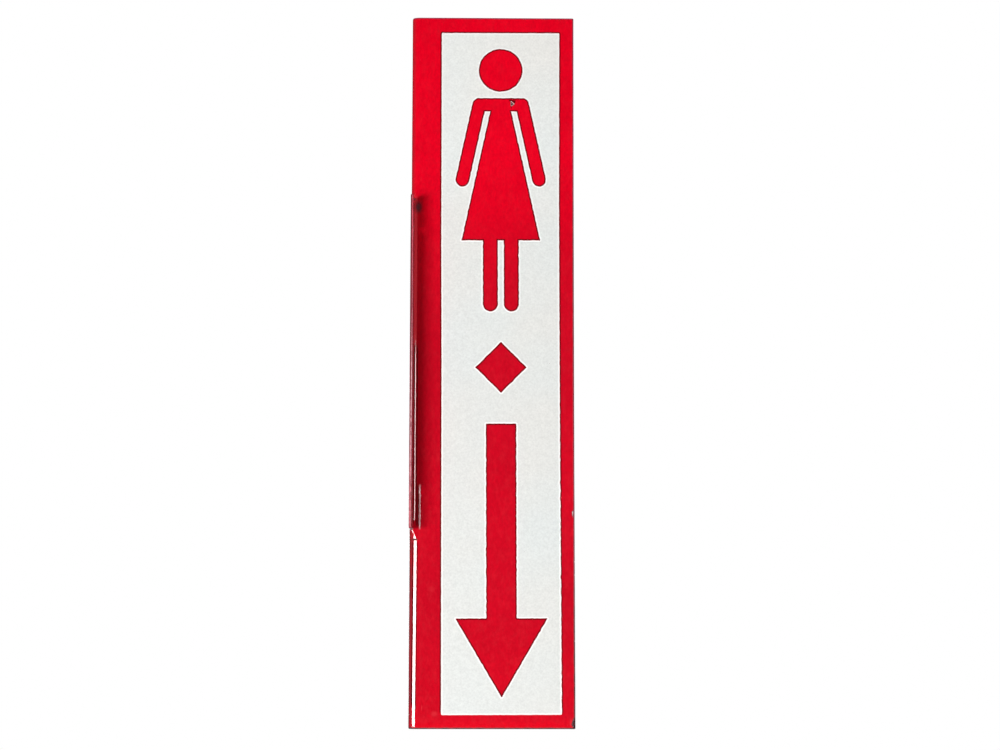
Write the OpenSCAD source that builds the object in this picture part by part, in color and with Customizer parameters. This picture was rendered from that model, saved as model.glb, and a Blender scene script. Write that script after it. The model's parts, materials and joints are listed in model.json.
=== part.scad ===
// Two-faced restroom sign of enamelled sheet steel, made to stand out from a wall.
// One pressed sheet carries a split flange of three tabs, bent by turns to the back and to the front.
// The fired enamel coats lie on both faces: dark ground coat, white coat, then the red stencil work.
// x runs from the wall face of the flange to the free edge, z is up, the front face looks to -y.
// The origin is on the wall face of the middle tab, half way along its line of screw holes.

/* [Sheet] */
// Height of the sheet
sheet_h = 609.6; // [500:0.1:760]
// Width from the wall face of the flange to the free edge
sheet_w = 139.7; // [116:0.1:200]
// Thickness of the bare steel
steel_t = 1.5; // [1:0.05:2.5]

/* [Flange] */
// Depth of the tabs, measured over the bend
flange_d = 25.4; // [22:0.1:45]
// Inside radius of the bends on the bare steel
bend_r = 4.4; // [2.5:0.1:6.5]
// Height of the top tab, bent to the back
top_tab_h = 160.5; // [100:0.5:200]
// Height of the bottom tab, bent to the back
bottom_tab_h = 166.5; // [100:0.5:200]
// Width of the slits that part the tabs
slit_w = 0.6; // [0.4:0.1:4]
// Length of the slits past the bend, in the flat of the sheet
slit_run = 1.2; // [0.6:0.1:6]

/* [Screw holes] */
// Clear diameter of the holes
hole_d = 6.4; // [4:0.1:8]
// Distance from the middle plane of the sheet to the lines of holes
hole_line = 15; // [12.5:0.1:18]
// Distance from the end of a tab to its nearest hole
hole_end = 30; // [15:0.5:45]

/* [Enamel] */
// Thickness of the dark ground coat
ground_t = 0.12; // [0.08:0.01:0.25]
// Thickness of the white coat
white_t = 0.16; // [0.08:0.01:0.3]
// Thickness of the red coat
red_t = 0.14; // [0.08:0.01:0.3]
// How far the white coat stops short of each edge
white_inset = 0.5; // [0.2:0.05:1]
// How far the red coat stops short of each edge
red_inset = 0.8; // [0.3:0.05:1.5]

/* [White panel] */
// Red band beside the flange
band_w = 26.6; // [20:0.1:40]
// Red border along the free edge
border_side = 11.9; // [8:0.1:20]
// Red border along the top edge
border_top = 13.7; // [8:0.1:20]
// Red border along the bottom edge
border_bottom = 11.8; // [8:0.1:20]
// Corner radius of the panel
panel_r = 1.2; // [0.5:0.1:6]
// Turn of the stencil laid on the front, in degrees
front_turn = 0.16; // [-0.3:0.01:0.3]
// Turn of the stencil laid on the back, in degrees
back_turn = -0.1; // [-0.3:0.01:0.3]

/* [Figure] */
// Height of the figure
figure_h = 230; // [200:1:260]
// Diameter of the head
head_d = 38; // [30:0.5:44]
// Gap between head and shoulders
neck_gap = 5.5; // [3:0.5:10]
// Width over the shoulders as a share of the figure's width
shoulder_share = 0.63; // [0.6:0.01:0.8]
// Width of the arms
arm_d = 12; // [9:0.5:14]
// Height of the arms, shoulder to hand
arm_h = 78; // [60:1:100]
// Gap between arm and dress
arm_gap = 4.5; // [3:0.5:5]
// Height of the dress, shoulder to hem
dress_h = 125; // [110:1:150]
// Width of each leg
leg_w = 13; // [8:0.5:14]
// Gap between the legs
leg_gap = 5; // [3:0.5:8]

/* [Lozenge and arrow] */
// Width of the lozenge across its corners
lozenge_w = 44; // [20:1:50]
// Gap above and below the lozenge
lozenge_gap = 26; // [10:1:30]
// Width of the arrow's shaft
shaft_w = 26; // [14:0.5:40]
// Height of the arrow's head
arrowhead_h = 66; // [40:1:80]
// Space left free above the figure and below the arrow
end_space = 14; // [8:0.5:24]
// Space left free beside the figure and the arrow
side_space = 11.55; // [8:0.05:18]

/* [Hidden] */

$fn = 96;
cut_past = 5;

// Depths from the middle plane of the sheet to the faces of each coat
steel_n = steel_t / 2;
ground_n = steel_n + ground_t;
white_n = ground_n + white_t;
red_n = white_n + red_t;

// The middle plane of the sheet stands one hole line behind the origin
sheet_y = hole_line;
mid_r = bend_r + steel_n;
flat_x = red_n + mid_r;
tab_reach = flange_d - red_n;

// Heights, with the origin half way up the middle tab
middle_tab_h = sheet_h - top_tab_h - bottom_tab_h;
top_slit_z = middle_tab_h / 2;
bottom_slit_z = -middle_tab_h / 2;
sheet_top = top_slit_z + top_tab_h;
sheet_bottom = bottom_slit_z - bottom_tab_h;

// Each tab: [lower end, upper end, side it bends to, room its lower slit takes, room its upper slit takes]
TABS = [
    [top_slit_z, sheet_top, 1, slit_w / 2, 0],
    [bottom_slit_z, top_slit_z, -1, slit_w / 2, slit_w / 2],
    [sheet_bottom, bottom_slit_z, 1, 0, slit_w / 2]
];

panel_w = sheet_w - band_w - border_side;
panel_h = sheet_h - border_top - border_bottom;
panel_x = band_w + panel_w / 2;
panel_z = sheet_bottom + border_bottom + panel_h / 2;

// The figure hangs from the top of the panel, and the arrow takes the height that is left
motif_w = panel_w - 2 * side_space;
figure_top = panel_h / 2 - end_space;
shoulder_top = figure_top - head_d - neck_gap;
arm_top = shoulder_top - arm_d / 2;
arm_bottom = shoulder_top - arm_h + arm_d / 2;
arm_top_x = shoulder_share * motif_w / 2 - arm_d / 2;
arm_bottom_x = (motif_w - arm_d) / 2;
arm_slope = (arm_bottom_x - arm_top_x) / (arm_top - arm_bottom);
arm_to_dress = (arm_d / 2 + arm_gap) * sqrt(1 + arm_slope * arm_slope);
hem = shoulder_top - dress_h;
dress_top_x = arm_top_x - arm_to_dress;
hem_x = dress_top_x + arm_slope * (arm_top - hem);
figure_bottom = figure_top - figure_h;
leg_x = (leg_gap + leg_w) / 2;
lozenge_z = figure_bottom - lozenge_gap - lozenge_w / 2;
arrow_top = lozenge_z - lozenge_w / 2 - lozenge_gap;
arrow_tip = -panel_h / 2 + end_space;

// Part of the bend and the tab, seen from above, between two depths towards the front
module tab_section(n0, n1, side, inset) {
    r0 = mid_r + side * n0;
    r1 = mid_r + side * n1;
    x0 = red_n - side * n0;
    x1 = red_n - side * n1;
    translate([flat_x, sheet_y + side * mid_r]) intersection() {
        difference() {
            circle(r = max(r0, r1));
            circle(r = min(r0, r1));
        }
        translate([-2 * mid_r, side > 0 ? -2 * mid_r : 0]) square(2 * mid_r);
    }
    tab_l = tab_reach - inset - mid_r;
    translate([min(x0, x1), sheet_y + (side > 0 ? mid_r : -mid_r - tab_l)])
        square([abs(x1 - x0), tab_l]);
}

// Outline of the flat of the sheet with its two slits, drawn in x and z
module flat_outline(inset) {
    difference() {
        translate([flat_x, sheet_bottom + inset])
            square([sheet_w - inset - flat_x, sheet_h - 2 * inset]);
        for (z = [top_slit_z, bottom_slit_z]) translate([flat_x, z]) {
            translate([-cut_past, -slit_w / 2 - inset])
                square([cut_past + slit_run - slit_w / 2, slit_w + 2 * inset]);
            translate([slit_run - slit_w / 2, 0]) circle(r = slit_w / 2 + inset);
        }
    }
}

// A drawing in x and z, stood up between two depths towards the front
module stand(n0, n1) {
    translate([0, sheet_y - n0, 0]) rotate([90, 0, 0]) linear_extrude(n1 - n0) children();
}

module screw_holes(r) {
    for (t = TABS) for (z = [t[0] + hole_end, t[1] - hole_end])
        translate([-cut_past, sheet_y + t[2] * hole_line, z])
            rotate([0, 90, 0]) cylinder(r = r, h = flat_x + 2 * cut_past);
}

// A layer of the whole formed sheet, all tabs with it, stopping short of every edge by the inset
module formed_layer(n0, n1, inset, hole_r) {
    difference() {
        union() {
            stand(n0, n1) flat_outline(inset);
            for (t = TABS) {
                z0 = t[0] + t[3] + inset;
                z1 = t[1] - t[4] - inset;
                translate([0, 0, z0]) linear_extrude(z1 - z0) tab_section(n0, n1, t[2], inset);
            }
        }
        screw_holes(hole_r);
    }
}

// The opening that the stencil leaves in the red coat, with round corners, turned as the stencil was laid
module panel_window(n0, n1, turn) {
    stand(n0, n1) translate([panel_x, panel_z]) rotate(turn) {
        square([panel_w - 2 * panel_r, panel_h], center = true);
        square([panel_w, panel_h - 2 * panel_r], center = true);
        for (x = [-1, 1]) for (y = [-1, 1])
            translate([x * (panel_w / 2 - panel_r), y * (panel_h / 2 - panel_r)]) circle(r = panel_r);
    }
}

// The stencilled shapes are as thick as the red coat and are drawn about the middle of the panel
module disc(at, d) {
    translate(at) cylinder(d = d, h = red_t);
}

module shape(points) {
    linear_extrude(red_t) polygon(points);
}

// A bar with round ends between two points
module round_bar(a, b, d) {
    run = b - a;
    disc(a, d);
    disc(b, d);
    translate(a) rotate(atan2(run[1], run[0])) translate([0, -d / 2]) cube([norm(run), d, red_t]);
}

module head() {
    disc([0, figure_top - head_d / 2], head_d);
}

module body() {
    round_bar([-arm_top_x, arm_top], [arm_top_x, arm_top], arm_d);
    shape([[-dress_top_x, arm_top], [dress_top_x, arm_top], [hem_x, hem], [-hem_x, hem]]);
    for (side = [-1, 1]) {
        round_bar([side * arm_top_x, arm_top], [side * arm_bottom_x, arm_bottom], arm_d);
        round_bar([side * leg_x, hem + leg_w], [side * leg_x, figure_bottom + leg_w / 2], leg_w);
    }
}

module lozenge() {
    half = lozenge_w / 2;
    translate([0, lozenge_z]) shape([[0, half], [half, 0], [0, -half], [-half, 0]]);
}

module arrow() {
    neck = arrow_tip + arrowhead_h;
    shape([
        [-shaft_w / 2, arrow_top], [shaft_w / 2, arrow_top], [shaft_w / 2, neck],
        [motif_w / 2, neck], [0, arrow_tip], [-motif_w / 2, neck], [-shaft_w / 2, neck]
    ]);
}

module steel_sheet() {
    color("dimgray") formed_layer(-steel_n, steel_n, ground_t, hole_d / 2 + ground_t);
}

// The front ground coat also wraps the cut edges and lines the holes, and laps round to the white on the back
module ground_coat_front() {
    color("#2a2022") difference() {
        formed_layer(-ground_n, ground_n, 0, hole_d / 2);
        formed_layer(-steel_n, steel_n, ground_t, hole_d / 2 + ground_t);
        formed_layer(-white_n, -steel_n, white_inset, hole_d / 2 + white_inset);
    }
}

module ground_coat_back() {
    color("#2a2022") formed_layer(-ground_n, -steel_n, white_inset, hole_d / 2 + white_inset);
}

module white_coat_front() {
    color("#ecede9") formed_layer(ground_n, white_n, white_inset, hole_d / 2 + white_inset);
}

module white_coat_back() {
    color("#ecede9") formed_layer(-white_n, -ground_n, white_inset, hole_d / 2 + white_inset);
}

module red_border_front() {
    color("#d80a20") difference() {
        formed_layer(white_n, red_n, red_inset, hole_d / 2 + red_inset);
        panel_window(white_n - red_t, red_n + red_t, front_turn);
    }
}

module red_border_back() {
    color("#d80a20") difference() {
        formed_layer(-red_n, -white_n, red_inset, hole_d / 2 + red_inset);
        panel_window(-red_n - red_t, -white_n + red_t, back_turn);
    }
}

// Lays a stencilled shape on the white coat, from its lower depth upwards to the front
module inlay(n0, turn) {
    color("#d80a20") translate([panel_x, sheet_y - n0, panel_z]) rotate([90, 0, 0]) rotate(turn)
        children();
}

module red_front() {
    inlay(white_n, front_turn) children();
}

module red_back() {
    inlay(-red_n, back_turn) children();
}

steel_sheet();
ground_coat_front();
ground_coat_back();
white_coat_front();
white_coat_back();
red_border_front();
red_border_back();
red_front() head();  // figure_head_front
red_back() head();  // figure_head_back
red_front() body();  // figure_body_front
red_back() body();  // figure_body_back
red_front() lozenge();  // lozenge_front
red_back() lozenge();  // lozenge_back
red_front() arrow();  // arrow_front
red_back() arrow();  // arrow_back
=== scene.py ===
import json
import math
import random
from types import SimpleNamespace

import bmesh
import bpy
import numpy as np
from mathutils import Matrix, Vector, kdtree
from mathutils.geometry import delaunay_2d_cdt


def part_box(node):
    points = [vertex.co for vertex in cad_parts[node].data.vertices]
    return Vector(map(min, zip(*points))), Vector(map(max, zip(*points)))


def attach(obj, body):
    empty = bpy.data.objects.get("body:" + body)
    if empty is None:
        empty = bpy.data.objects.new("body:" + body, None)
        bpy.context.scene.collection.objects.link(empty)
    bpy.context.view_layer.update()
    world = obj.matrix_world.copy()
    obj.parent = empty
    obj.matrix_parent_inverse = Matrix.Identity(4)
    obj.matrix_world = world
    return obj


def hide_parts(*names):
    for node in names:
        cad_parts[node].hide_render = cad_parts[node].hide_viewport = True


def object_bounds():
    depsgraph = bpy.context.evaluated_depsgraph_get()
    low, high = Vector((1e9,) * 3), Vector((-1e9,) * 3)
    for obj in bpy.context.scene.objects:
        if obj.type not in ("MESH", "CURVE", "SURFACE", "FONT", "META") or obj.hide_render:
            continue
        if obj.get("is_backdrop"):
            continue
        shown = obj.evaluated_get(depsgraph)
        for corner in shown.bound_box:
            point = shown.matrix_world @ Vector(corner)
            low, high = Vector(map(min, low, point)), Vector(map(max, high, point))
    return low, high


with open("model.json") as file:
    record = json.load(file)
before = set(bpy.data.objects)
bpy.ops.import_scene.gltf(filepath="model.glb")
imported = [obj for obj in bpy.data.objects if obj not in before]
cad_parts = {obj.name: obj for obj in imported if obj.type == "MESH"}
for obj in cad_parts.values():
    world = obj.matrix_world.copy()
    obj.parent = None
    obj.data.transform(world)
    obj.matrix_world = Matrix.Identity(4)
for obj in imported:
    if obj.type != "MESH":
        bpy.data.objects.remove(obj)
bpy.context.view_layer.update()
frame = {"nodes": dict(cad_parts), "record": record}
scene = bpy.context.scene
mm = 0.001
print("frame loaded:", len(frame["nodes"]), "nodes")

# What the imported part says. Lengths on the sheet are kept in millimetres, and meshes are made in metres.
groundLow, groundHigh = (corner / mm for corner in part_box("ground_coat_front"))
headLow, headHigh = (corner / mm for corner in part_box("figure_head_front"))
middlePlane = (groundLow.y + groundHigh.y) / 2  # y of the middle of the steel
tabReach = (groundHigh.y - groundLow.y) / 2  # from the middle plane to a tab's free edge
freeEdge, sheetTop, sheetBottom = groundHigh.x, groundHigh.z, groundLow.z
redDepth = middlePlane - headLow.y  # depths run from the middle plane towards a face
whiteDepth = middlePlane - headHigh.y
groundDepth = redDepth - groundLow.x
steelDepth = redDepth - (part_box("steel_sheet")[0] / mm).x
holeRows = [m for m in frame["record"]["mounts"] if m["kind"] == "bolt_pattern"]

sheet = {
    "topTab": 160.5,
    "bottomTab": 166.5,
    "slitWidth": 0.3,
    "slitEnd": 7.4,  # x where the slits stop in the steel
    "cornerRound": 1.0,
    "tabCornerRound": 1.4,
}
slitTop = sheetTop - sheet["topTab"]
slitBottom = sheetBottom + sheet["bottomTab"]

bend = {
    "easeRadius": 10.4,  # the bend starts wide, to the middle of the steel
    "easeAngle": math.radians(22.5),
    "cornerRadius": 2.6,  # then it turns tighter
    "outerCorner": 4.1,  # the same on the top and bottom tabs, beside the slits
    "cornerGrowth": -1.2,  # how much that one grows up to the ends of the sheet
    "cornerBlend": 3.0,
    "slitTightening": 0.68,
    "tighteningReach": 5.6,
    "waveHeight": 0.28,
    "waveLength": 95.0,
    "waveFade": 30.0,
    "waist": 0.3,  # the free edge is hollow by this much half way up
    "edgeWave": 0.14,
    "edgeWaveLength": 26.0,
}
brake = SimpleNamespace(**bend, middlePlane=middlePlane, wallPlane=redDepth, freeEdge=freeEdge,
                        slitHeight=(slitTop - slitBottom) / 2, tabHeight=sheet["topTab"],
                        sheetMiddle=(sheetTop + sheetBottom) / 2, halfHeight=(sheetTop - sheetBottom) / 2)

coats = {
    "steelInset": 0.16,
    "slitWidth": 0.1,  # the enamel has all but closed the saw cuts
    "slitEnd": 2.3,  # and runs across them from this x on
    "edgeRoll": 0.4,
    "edgeSquareness": 0.7,
    "shoulder": 1.5,  # the enamel thins over this width to every outer edge
    "shoulderRadius": 9.0,
    "sink": 0.02,
    "printRings": (-0.15, 0.3, 0.9, 1.5),  # where the white is measured out from the edge of the red shapes
    "wanderLength": (5.0, 26.0),
    "holeWanderLength": (2, 9),
}
# the cover coats stop short of the sheet's edge, the slits and the holes, and their brushed edges wander
coverCoats = {
    "white": {"inset": 1.15, "corner": 1.4, "slitInset": 0.35, "wander": 0.035, "seed": 50,
              "holeInset": 0.55, "holeWander": 0.05, "holeSeed": 60},
    "red": {"inset": 0.42, "corner": 1.6, "slitInset": 0.1, "wander": 0.07, "seed": 52,
            "holeInset": 0.85, "holeWander": 0.07, "holeSeed": 80},
}

stencil = {
    "bandWidth": 26.6,
    "borderSide": 11.9,
    "borderTop": 13.7,
    "borderBottom": 11.8,
    "cornerRound": 0.7,
    "frontTurn": math.radians(0.16),
    "backTurn": math.radians(-0.1),
    "wander": 0.1,
    "wanderLength": (4.0, 18.0),
    "steadyHand": 0.36,  # share of that wander along the left edge, and at the top of the right one
    # how far each long edge strays to the left, by height
    "leftSlip": [(-310, 0.0), (10, 0.0), (110, 0.42), (310, 0.32)],
    "rightSlip": [(-310, 0.42), (-60, 0.6), (60, 0.6), (140, 0.54), (290, -0.22)],
}
panelWidth = freeEdge - stencil["bandWidth"] - stencil["borderSide"]
panelHeight = sheetTop - sheetBottom - stencil["borderTop"] - stencil["borderBottom"]

# Chips and nicks: x and z of the middle, half width, half height, the coats they go through and a seed
wear = {
    "panelChip": (86.4, 225.5, 1.5, 2.1, "figure white ground", 3),
    "cornerChip": (140.4, -303.0, 2.8, 5.8, "red white", 8),
    "bandNick": (127.9, -114.6, 0.5, 0.6, "red", 11),
    "edgeNick": (139.3, -128.4, 1.4, 2.6, "red", 12),
    "holeChip": (-9.3, -108.4, 1.5, 1.2, "red white", 18),
    "tabChip": (-21.2, 40.0, 1.6, 2.6, "red white", 19),
    "upperSpeck": (126.0, -269.5, 0.45, 0.5, "red", 16),
    "lowerSpeck": (126.4, -272.5, 0.4, 0.5, "red", 17),
}
backWear = {
    "hangChip": (60.0, 284.0, 1.6, 1.3, "white ground", 21),
    "topCornerChip": (139.0, 301.0, 3.4, 4.2, "red white", 22),
    "lowCornerChip": (138.9, -306.8, 4.2, 2.8, "red white", 23),
    "upperNick": (139.2, 96.0, 1.1, 1.6, "red white", 24),
    "lowerNick": (139.2, -61.0, 1.3, 1.1, "red white", 25),
    "topHoleChip": (-8.9, 273.6, 1.4, 1.7, "red white", 27),
    "lowHoleChip": (-14.6, -275.6, 1.2, 1.6, "red white", 28),
    "topTabChip": (-21.0, 226.0, 1.5, 2.4, "red white", 29),
    "lowTabChip": (-21.2, -240.0, 1.6, 1.8, "red white", 30),
}
chipScale = {"red": 1.0, "figure": 1.0, "white": 0.84, "ground": 0.6}
oddChips = {"panelChip": {"corners": 3}, "cornerChip": {"white": 0.98}}
smallLoop, shapeLoop, anyLoop = 4.5, 600, math.inf  # the most that a chip, a shape and the sheet span


# Flat loops and their edges

def unit(v):
    return v / max(np.linalg.norm(v), 1e-12)


def turned(v, angle):
    c, s = math.cos(angle), math.sin(angle)
    return np.array([c * v[0] - s * v[1], s * v[0] + c * v[1]])


def roundedLoop(corners, step=1.0):
    # corners are (x, z, radius); straight runs get a point every step
    pts = np.array([c[:2] for c in corners], float)
    arcs = []
    for i, (x, z, r) in enumerate(corners):
        corner = pts[i]
        into, out = unit(corner - pts[i - 1]), unit(pts[(i + 1) % len(pts)] - corner)
        turn = math.atan2(into[0] * out[1] - into[1] * out[0], into @ out)
        if r <= 0 or abs(turn) < 1e-4:
            arcs.append([corner])
            continue
        first = corner - into * r * math.tan(abs(turn) / 2)
        centre = first + np.array([-into[1], into[0]]) * math.copysign(r, turn)
        count = max(4, math.ceil(abs(turn) * r / 0.35))
        arcs.append([centre + turned(first - centre, turn * k / count) for k in range(count + 1)])
    loop = []
    for arc, after in zip(arcs, arcs[1:] + arcs[:1]):
        run = after[0] - arc[-1]
        count = int(np.linalg.norm(run) / step)
        loop += arc + [arc[-1] + run * k / count for k in range(1, count)]
    return tidyLoop(np.array(loop))


def tidyLoop(loop, least=0.03):
    kept = [loop[0]]
    for p in loop[1:]:
        if np.linalg.norm(p - kept[-1]) > least:
            kept.append(p)
    while len(kept) > 3 and np.linalg.norm(kept[-1] - kept[0]) <= least:
        kept.pop()
    return np.array(kept)


def ringLoop(centre, radius, count=48):
    turns = np.arange(count) * 2 * math.pi / count
    return np.array(centre) + radius * np.stack([np.cos(turns), np.sin(turns)], 1)


def chipLoop(x, z, halfX, halfZ, seed, scale, corners, count=44):
    # a broken, lobed outline
    rng = random.Random(seed)
    waves = [(k, rng.uniform(0.4, 1) * 0.2 / k ** 0.7, rng.uniform(0, 6.28)) for k in (2, 3, 4, 6, 9, 13)]
    t = 2 * math.pi * np.arange(count) / count
    r = scale * (1 + sum(a * np.sin(k * t + phase) for k, a, phase in waves))
    if corners:
        side = math.pi / corners
        r *= 1.25 * math.cos(side) / np.cos(t % (2 * side) - side)
    return np.stack([x + halfX * r * np.cos(t), z + halfZ * r * np.sin(t)], 1)


def leftNormals(loop):
    steps = [loop - np.roll(loop, 1, 0), np.roll(loop, -1, 0) - loop]
    a, b = (np.stack([-d[:, 1], d[:, 0]], 1) / np.linalg.norm(d, axis=1)[:, None] for d in steps)
    mitre = (a + b) / np.maximum(1 + (a * b).sum(1), 0.5)[:, None]
    return mitre / np.maximum(np.linalg.norm(mitre, axis=1) / 1.4, 1)[:, None]


def offsetLoop(loop, distance):
    # where a tight corner would fold over, its points are drawn together
    moved = loop + leftNormals(loop) * np.reshape(distance, (-1, 1))
    before, after = np.roll(loop, -1, 0) - loop, np.roll(moved, -1, 0) - moved
    folded = (before * after).sum(1) < 0
    if not folded.any() or folded.all():
        return moved
    bad = folded | np.roll(folded, 1)
    shift = -int(np.flatnonzero(~bad)[0])
    loop, moved, bad = (np.roll(part, shift, 0) for part in (loop, moved, bad))
    count = len(loop)
    ends = np.flatnonzero(np.diff(np.append(bad, False))) + 1
    for first, last in zip(ends[::2], ends[1::2]):
        a, b = moved[first - 1], moved[last % count]
        u = unit(loop[first - 1] - loop[first - 2])
        v = unit(loop[(last + 1) % count] - loop[last % count])
        tip = (a + b) / 2
        cross = u[0] * v[1] - u[1] * v[0]
        if abs(cross) > 0.15:
            point = a + u * ((b - a)[0] * v[1] - (b - a)[1] * v[0]) / cross
            if np.linalg.norm(point - tip) <= 1.5:
                tip = point
        moved[first:last] = tip
    return np.roll(moved, -shift, 0)


def wander(loop, amount, lengths, seed, share=1.0):
    # a hand-cut or brushed edge: slow sines of random length along the loop
    rng = random.Random(seed)
    steps = np.linalg.norm(np.roll(loop, -1, 0) - loop, axis=1)
    along, total = np.append(0, np.cumsum(steps)[:-1]), steps.sum()
    drift = 0
    for _ in range(16):
        turns = max(1, round(total / rng.uniform(*lengths)))
        size = math.sin(rng.uniform(0, 6.28))
        drift += size * np.sin(2 * math.pi * turns * along / total + rng.uniform(0, 6.28))
    return offsetLoop(loop, drift * share * amount / 2.0)


def insideLoop(points, loop):
    a, b = loop, np.roll(loop, -1, 0)
    found = [np.zeros(0, bool)]
    for start in range(0, len(points), 2000):
        x, y = points[start:start + 2000, :1], points[start:start + 2000, 1:]
        with np.errstate(divide="ignore", invalid="ignore"):
            cut = a[:, 0] + (y - a[:, 1]) * (b[:, 0] - a[:, 0]) / (b[:, 1] - a[:, 1])
        crosses = ((a[:, 1] > y) != (b[:, 1] > y)) & (x < cut)
        found.append(crosses.sum(1) % 2 == 1)
    return np.concatenate(found)


def insideOdd(points, loops):
    return sum(insideLoop(points, loop).astype(int) for loop in loops) % 2 == 1


def triangulate(loops, extra=()):
    points, edges = [], []
    for loop in loops:
        first, count = len(points), len(loop)
        points += [Vector(p) for p in loop]
        edges += [(first + i, first + (i + 1) % count) for i in range(count)]
    points += [Vector(p) for p in extra]
    verts, _, tris, sources, _, _ = delaunay_2d_cdt(points, edges, [], 0, 1e-6, True)
    return np.array([tuple(v) for v in verts]), np.array(tris), sources


def trimLoops(joined, cut=()):
    # the outline of what lies in any joined loop and in no cut loop; the region is on each loop's left
    pts, tris, _ = triangulate([*joined, *cut])
    middles = pts[tris].mean(1)
    keep = np.zeros(len(tris), bool)
    for loop in joined:
        keep |= insideLoop(middles, loop)
    for loop in cut:
        keep &= ~insideLoop(middles, loop)
    onward = {}
    sides = {(t[k], t[(k + 1) % 3]) for t in tris[keep].tolist() for k in range(3)}
    for a, b in sorted(sides):
        if (b, a) not in sides:
            onward.setdefault(a, []).append(b)
    loops = []
    while onward:
        start = here = min(onward)
        loop = []
        while here in onward:
            loop.append(here)
            after = onward[here].pop()
            if not onward[here]:
                del onward[here]
            here = after
            if here == start:
                break
        if len(loop) > 8:
            loops.append(tidyLoop(pts[loop]))
    return loops


# The blank of the sheet, flat, before its tabs are bent

def bendAt(z, sizes):
    # at this height: how far past the slits, the two radii, where the flat starts, the run of each radius
    past = abs(z) - sizes.slitHeight
    near = past / sizes.tighteningReach
    tight = 1.0 - calc("EXPONENT", near * near * -1.0) * sizes.slitTightening
    outer = sizes.cornerGrowth * within(past / sizes.tabHeight) + sizes.outerCorner
    blended = within(past / (sizes.cornerBlend * 2.0) + 0.5)
    ease = sizes.easeRadius * tight
    corner = ((outer - sizes.cornerRadius) * blended + sizes.cornerRadius) * tight
    sinEase = calc("SINE", sizes.easeAngle)
    flat = sizes.wallPlane + (ease * sinEase + corner * (1.0 - sinEase))
    return past, ease, corner, flat, ease * sizes.easeAngle, corner * (math.pi / 2 - sizes.easeAngle)


def blankX(reach, z):
    # where on the flat blank a point lies that ends up this far from the middle plane
    _, ease, corner, flat, easeRun, cornerRun = bendAt(z, brake)
    turn = math.cos(brake.easeAngle)
    return flat - easeRun - cornerRun - (reach - ease * (1 - turn) - corner * turn)


def sheetOutline(inset, cornerRound, slits, slitInset):
    # slits is the dictionary that says how wide and how long the slits are
    half = slits["slitWidth"] / 2 + slitInset
    end = slits["slitEnd"] + slitInset
    low, high, right = sheetBottom + inset, sheetTop - inset, freeEdge - inset
    tabRound = max(sheet["tabCornerRound"] - inset, 0.4)

    def left(z, r=0):
        return blankX(tabReach, z) + inset + 0.03, z, r

    # the tabs' ends curve a little beside the slits, where the bend is tight
    beside = [2.4, 3.2, 4.2, 5.4, 7.0, 9.0, 12.0]
    corners = [left(low, tabRound), (right, low, cornerRound), (right, high, cornerRound),
               left(high, tabRound)]
    for slit in (slitTop, slitBottom):
        corners += [left(slit + d) for d in reversed(beside)]
        corners += [left(slit + half, tabRound), (end, slit + half, half * 0.999),
                    (end, slit - half, half * 0.999), left(slit - half, tabRound)]
        corners += [left(slit - d) for d in beside]
    return roundedLoop(corners)


def clearOfSlits(loop):
    # 0 beside a slit, where a brushed edge can't wander, and 1 away from it
    away = np.minimum(abs(loop[:, 1] - slitTop), abs(loop[:, 1] - slitBottom))
    return np.where(loop[:, 0] < 12, np.clip((away - 1.0) / 3, 0, 1), 1.0)


def screwHoles(extra, rows=holeRows):
    loops = []
    for row in rows:
        x, y, z = (v / mm for v in row["pos_m"])
        for side in (-1, 1):
            up = z + side * row["dims"]["spacing_y_mm"] / 2
            loops.append(ringLoop((blankX(abs(y - middlePlane), up), up), row["dims"]["hole_r_mm"] + extra))
    return loops


def chipsThrough(coat, marks):
    loops = []
    for name, (*place, through, seed) in marks.items():
        if coat in through.split():
            odd = oddChips.get(name, {})
            loops.append(chipLoop(*place, seed, odd.get(coat, chipScale[coat]), odd.get("corners")))
    return loops


def insideGrid(columns, rows, loops, seams, clearance):
    grid = np.array([(x, z) for x in columns for z in rows])
    edge = np.concatenate([*loops, *seams])
    tree = kdtree.KDTree(len(edge))
    for i, p in enumerate(edge):
        tree.insert((*p, 0), i)
    tree.balance()
    grid = grid[[tree.find((*p, 0))[2] > clearance for p in grid]]
    return grid[insideOdd(grid, loops)]


def sheetGrid(loops, seams=()):
    # close columns across the bend, close rows beside the slits, open elsewhere
    columns = [*np.arange(-24, -1.5, 5.0), *np.arange(-1.5, 8.6, 0.55), *np.arange(9.5, 140, 4.2)]
    rows = {*np.round(np.arange(sheetBottom + 2, sheetTop, 4.0), 3)}
    for slit in (slitTop, slitBottom):
        rows |= {*np.round(np.arange(slit - 13, slit + 13, 0.9), 3)}
        rows |= {*np.round(np.arange(slit - 1.65, slit + 1.7, 0.3), 3)}
    return insideGrid(columns, sorted(rows), loops, seams, 0.42)


def shapeGrid(loops, seams=()):
    # a plain grid inside a small shape
    low, high = np.concatenate(loops).min(0), np.concatenate(loops).max(0)
    return insideGrid(np.arange(low[0], high[0], 4.0), np.arange(low[1], high[1], 4.0), loops, seams, 0.8)


# A coat is closed: rings run from the face over the rim to the underside

def rim(face, under, width, lips=(), steps=4):
    # (distance in from the edge, depth) from the face outwards; lips are extra rings on the face
    turns = [math.pi / 2 * k / steps for k in range(steps + 1)]
    return [(lip, face) for lip in sorted(lips, reverse=True)] + [
        (width * (1 - math.sin(a)), under + (face - under) * max(math.cos(a), 0.0)) for a in turns]


def bySize(loops, *choices):
    # the rings for each loop: choices are (the most it may span, its rings), least first
    return [next(rings for most, rings in choices if np.ptp(loop, axis=0).max() <= most) for loop in loops]


noEdge = 9.0  # the distance that points away from every edge are given
distances = ("edgeDistance", "outerDistance", "printDistance")


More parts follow.
